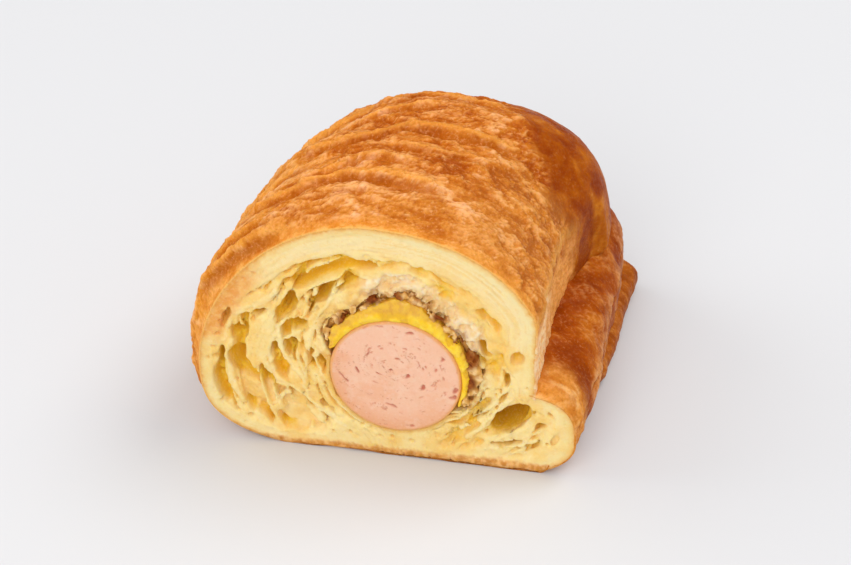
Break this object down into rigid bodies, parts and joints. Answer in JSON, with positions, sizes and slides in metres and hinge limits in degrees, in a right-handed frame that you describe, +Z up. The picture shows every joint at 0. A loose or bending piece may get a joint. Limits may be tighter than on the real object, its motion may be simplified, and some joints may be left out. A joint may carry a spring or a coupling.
{
  "type": "sausage roll half",
  "caption": "Half of a baked puff pastry sausage roll, cut across, with the sausage, a crescent of mustard and roast onion showing, resting on its flat underside.",
  "frame": {"origin": "centre of the bounding box in X and Y, on the table plane under the roll", "axes": "+Z up; the cut face looks along -Y; the baked, folded end is at +Y; the folds of the dough stick out at +X"},
  "size_m": [0.0734, 0.0584, 0.051],
  "materials": {
    "puff_pastry": "baked dough: flaky brown crust outside, cream-yellow layered crumb at the cut",
    "sausage": "moist pale pink cooked sausage meat with dark specks and a thin browned skin",
    "mustard": "thick smooth yellow mustard, slightly glossy",
    "roast_onion": "dry crumbly brown roast onion"
  },
  "bodies": {
    "root": {"pastry": "puff_pastry", "sausage": "sausage", "mustard": "mustard", "roast_onion": "roast_onion"}
  },
  "joints": []
}
